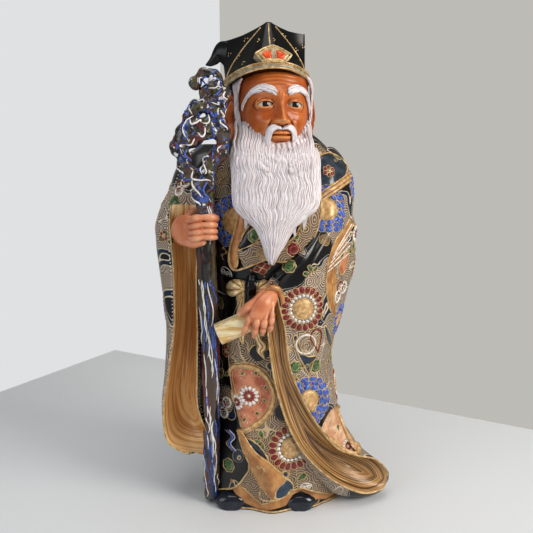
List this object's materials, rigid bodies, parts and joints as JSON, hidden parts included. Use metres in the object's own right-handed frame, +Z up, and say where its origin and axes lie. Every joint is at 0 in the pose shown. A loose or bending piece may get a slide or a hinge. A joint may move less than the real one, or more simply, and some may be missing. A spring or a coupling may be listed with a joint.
{
  "type": "ceramic deity figurine",
  "caption": "Standing ceramic figurine of an old bearded deity in a tall cap and long robes, leaning on a knotted staff and holding a scroll; rests on its open base.",
  "frame": {"origin": "middle of the figurine's bounding box in plan, on the surface that it stands on", "axes": "+Z up through the figure, -Y the way that it faces, +X towards its left hand"},
  "size_m": [0.2068, 0.1334, 0.4094],
  "materials": {
    "robe": "glossy black glaze with raised gilt lines and enamels",
    "panel": "taupe and brown ground with fine gilt lines",
    "sleeve": "dark glaze with enamelled flower medallions",
    "lining": "orange-brown wash streaked with gold",
    "gilt": "matte gilding over glaze",
    "skin": "satin brown flesh enamel",
    "hair": "white enamel with combed strands",
    "staff": "streaked black, brown, blue and white enamel",
    "cap": "glossy black glaze with gilt seams",
    "badge": "orange-red enamel in gilt cells",
    "shoe": "glossy black glaze"
  },
  "bodies": {
    "root": {"head": "skin", "shoe_right": "shoe", "shoe_left": "shoe", "robe_body": "robe", "staff": "staff", "right_hand": "skin", "right_sleeve": "sleeve", "left_hand": "skin", "scroll": "gilt", "left_sleeve": "sleeve", "front_panel": "panel", "side_panel": "panel", "turned_corner": "lining", "sash": "gilt", "inner_collar": "gilt", "collar_left": "panel", "collar_right": "gilt", "bow_loop_right": "gilt", "bow_loop_left": "gilt", "bow_tail": "gilt", "tassel_right": "gilt", "tassel_left": "gilt", "beard": "hair", "moustache_right": "hair", "eyebrow_right": "hair", "moustache_left": "hair", "eyebrow_left": "hair", "cap_crown": "cap", "cap_band": "gilt", "cap_badge": "badge", "cap_flap": "cap", "back_hair": "hair", "sideburn_right": "hair", "sideburn_left": "hair"}
  },
  "joints": []
}
